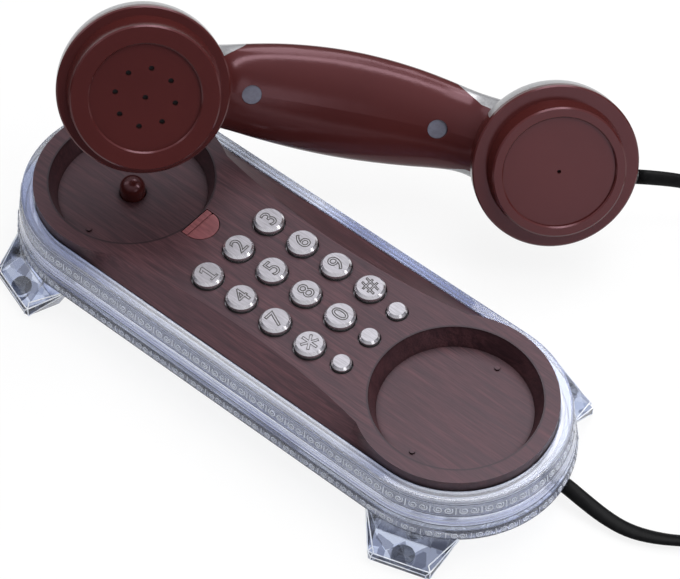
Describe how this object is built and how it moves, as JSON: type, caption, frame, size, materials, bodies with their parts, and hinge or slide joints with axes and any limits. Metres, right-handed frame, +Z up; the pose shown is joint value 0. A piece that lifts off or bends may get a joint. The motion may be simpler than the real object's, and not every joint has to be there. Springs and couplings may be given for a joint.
{
  "type": "compact push-button telephone",
  "caption": "Compact push-button bedroom phone with wood-grain plate in a clear footed case, its handset held off the cups on a curly cord.",
  "frame": {"origin": "on the table, midway between the four foot pads, under the centre of the base", "axes": "+X along the base towards the mouthpiece cup, +Y towards the side where the handset is held, +Z up"},
  "size_m": [0.3103, 0.2049, 0.1086],
  "materials": {
    "wood_print": "satin printed wood grain",
    "brown_gloss": "polished",
    "clear": "clear polished acrylic",
    "silver_cover": "silver-grey paint",
    "silver_pan": "bright silver coating",
    "key_silver": "satin silver plating",
    "pad_rubber": "matte",
    "grey_plug": "satin",
    "steel": "plain",
    "iron": "raw",
    "mat_rubber": "matte",
    "board_green": "lacquered",
    "black_plastic": "moulded",
    "capsule_metal": "plain",
    "black_rubber": "matte",
    "cord_black": "soft sheath"
  },
  "bodies": {
    "base": {"top_plate": "wood_print", "shell_ring": "clear", "bottom_tray": "clear", "inner_pan": "silver_pan", "foot_pads": "pad_rubber", "case_screws": "steel", "board_screws": "steel", "hook_spring": "steel", "ballast": "iron", "key_mat": "mat_rubber", "main_board": "board_green", "hook_switch": "black_plastic", "ringer": "black_plastic", "line_jack": "black_plastic", "cord_gland": "black_rubber", "cord_base_tail": "cord_black", "cord_curls": "cord_black"},
    "key_1": {"key_1": "key_silver"},
    "key_2": {"key_2": "key_silver"},
    "key_3": {"key_3": "key_silver"},
    "key_4": {"key_4": "key_silver"},
    "key_5": {"key_5": "key_silver"},
    "key_6": {"key_6": "key_silver"},
    "key_7": {"key_7": "key_silver"},
    "key_8": {"key_8": "key_silver"},
    "key_9": {"key_9": "key_silver"},
    "key_star": {"key_star": "key_silver"},
    "key_0": {"key_0": "key_silver"},
    "key_hash": {"key_hash": "key_silver"},
    "key_mute": {"key_mute": "key_silver"},
    "key_pause": {"key_pause": "key_silver"},
    "key_redial": {"key_redial": "key_silver"},
    "hook_plunger": {"hook_plunger": "brown_gloss"},
    "handset_retainer": {"handset_retainer": "wood_print"},
    "handset": {"handset_front": "brown_gloss", "handset_back": "brown_gloss", "ear_back": "silver_cover", "mouth_back": "silver_cover", "ear_cap": "brown_gloss", "mouth_cap": "brown_gloss", "receiver": "black_plastic", "microphone": "capsule_metal", "screw_plugs": "grey_plug", "handset_screws": "steel", "handset_weight": "iron", "cord_grommet": "black_rubber", "cord_handset_tail": "cord_black"}
  },
  "joints": [
    {"name": "handset_lift", "type": "slide", "parent": "base", "child": "handset", "axis": [0, 0, 1], "range_m": [0, 0.1]},
    {"name": "key_1_press", "type": "slide", "parent": "base", "child": "key_1", "axis": [0, 0, -1], "range_m": [0, 0.0015], "stiffness_N_per_m": 400, "springref_m": -0.0005},
    {"name": "key_2_press", "type": "slide", "parent": "base", "child": "key_2", "axis": [0, 0, -1], "range_m": [0, 0.0015], "stiffness_N_per_m": 400, "springref_m": -0.0005},
    {"name": "key_3_press", "type": "slide", "parent": "base", "child": "key_3", "axis": [0, 0, -1], "range_m": [0, 0.0015], "stiffness_N_per_m": 400, "springref_m": -0.0005},
    {"name": "key_4_press", "type": "slide", "parent": "base", "child": "key_4", "axis": [0, 0, -1], "range_m": [0, 0.0015], "stiffness_N_per_m": 400, "springref_m": -0.0005},
    {"name": "key_5_press", "type": "slide", "parent": "base", "child": "key_5", "axis": [0, 0, -1], "range_m": [0, 0.0015], "stiffness_N_per_m": 400, "springref_m": -0.0005},
    {"name": "key_6_press", "type": "slide", "parent": "base", "child": "key_6", "axis": [0, 0, -1], "range_m": [0, 0.0015], "stiffness_N_per_m": 400, "springref_m": -0.0005},
    {"name": "key_7_press", "type": "slide", "parent": "base", "child": "key_7", "axis": [0, 0, -1], "range_m": [0, 0.0015], "stiffness_N_per_m": 400, "springref_m": -0.0005},
    {"name": "key_8_press", "type": "slide", "parent": "base", "child": "key_8", "axis": [0, 0, -1], "range_m": [0, 0.0015], "stiffness_N_per_m": 400, "springref_m": -0.0005},
    {"name": "key_9_press", "type": "slide", "parent": "base", "child": "key_9", "axis": [0, 0, -1], "range_m": [0, 0.0015], "stiffness_N_per_m": 400, "springref_m": -0.0005},
    {"name": "key_star_press", "type": "slide", "parent": "base", "child": "key_star", "axis": [0, 0, -1], "range_m": [0, 0.0015], "stiffness_N_per_m": 400, "springref_m": -0.0005},
    {"name": "key_0_press", "type": "slide", "parent": "base", "child": "key_0", "axis": [0, 0, -1], "range_m": [0, 0.0015], "stiffness_N_per_m": 400, "springref_m": -0.0005},
    {"name": "key_hash_press", "type": "slide", "parent": "base", "child": "key_hash", "axis": [0, 0, -1], "range_m": [0, 0.0015], "stiffness_N_per_m": 400, "springref_m": -0.0005},
    {"name": "key_mute_press", "type": "slide", "parent": "base", "child": "key_mute", "axis": [0, 0, -1], "range_m": [0, 0.0015], "stiffness_N_per_m": 400, "springref_m": -0.0005},
    {"name": "key_pause_press", "type": "slide", "parent": "base", "child": "key_pause", "axis": [0, 0, -1], "range_m": [0, 0.0015], "stiffness_N_per_m": 400, "springref_m": -0.0005},
    {"name": "key_redial_press", "type": "slide", "parent": "base", "child": "key_redial", "axis": [0, 0, -1], "range_m": [0, 0.0015], "stiffness_N_per_m": 400, "springref_m": -0.0005},
    {"name": "hook_press", "type": "slide", "parent": "base", "child": "hook_plunger", "axis": [0, 0, -1], "range_m": [0, 0.003], "stiffness_N_per_m": 60, "springref_m": -0.002, "deforming": ["hook_spring"]},
    {"name": "retainer_lift", "type": "slide", "parent": "base", "child": "handset_retainer", "axis": [0, 0, 1], "range_m": [0, 0.008]}
  ]
}
